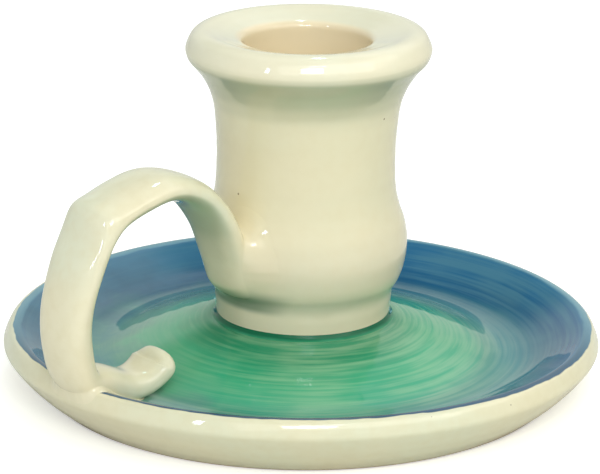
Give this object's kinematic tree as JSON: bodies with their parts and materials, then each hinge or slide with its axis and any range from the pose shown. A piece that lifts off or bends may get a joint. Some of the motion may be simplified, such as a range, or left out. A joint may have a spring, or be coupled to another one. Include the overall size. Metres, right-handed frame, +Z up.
{
  "type": "chamberstick",
  "caption": "Thrown pottery chamberstick: a saucer with a painted well, a waisted candle socket with a flared lip, and a strap finger loop from belly to rim.",
  "frame": {"origin": "middle of the saucer's foot face, on the surface that it stands on", "axes": "+Z up along the candle's axis; +X away from the finger loop, which stands in the XZ plane on the -X side"},
  "size_m": [0.1176, 0.114, 0.0691],
  "materials": {
    "painted_saucer_glaze": "cream earthenware, the well brushed blue at the rim and green round the socket under a clear gloss glaze, bare foot ring",
    "cream_glaze": "cream earthenware under a clear gloss glaze",
    "green_pooled_glaze": "green glaze pooled in the corner round the socket's foot, gloss"
  },
  "bodies": {
    "root": {"saucer": "painted_saucer_glaze", "candle_socket": "cream_glaze", "socket_seam": "green_pooled_glaze", "handle": "cream_glaze", "handle_root_clay": "cream_glaze", "handle_rim_clay": "cream_glaze"}
  },
  "joints": []
}
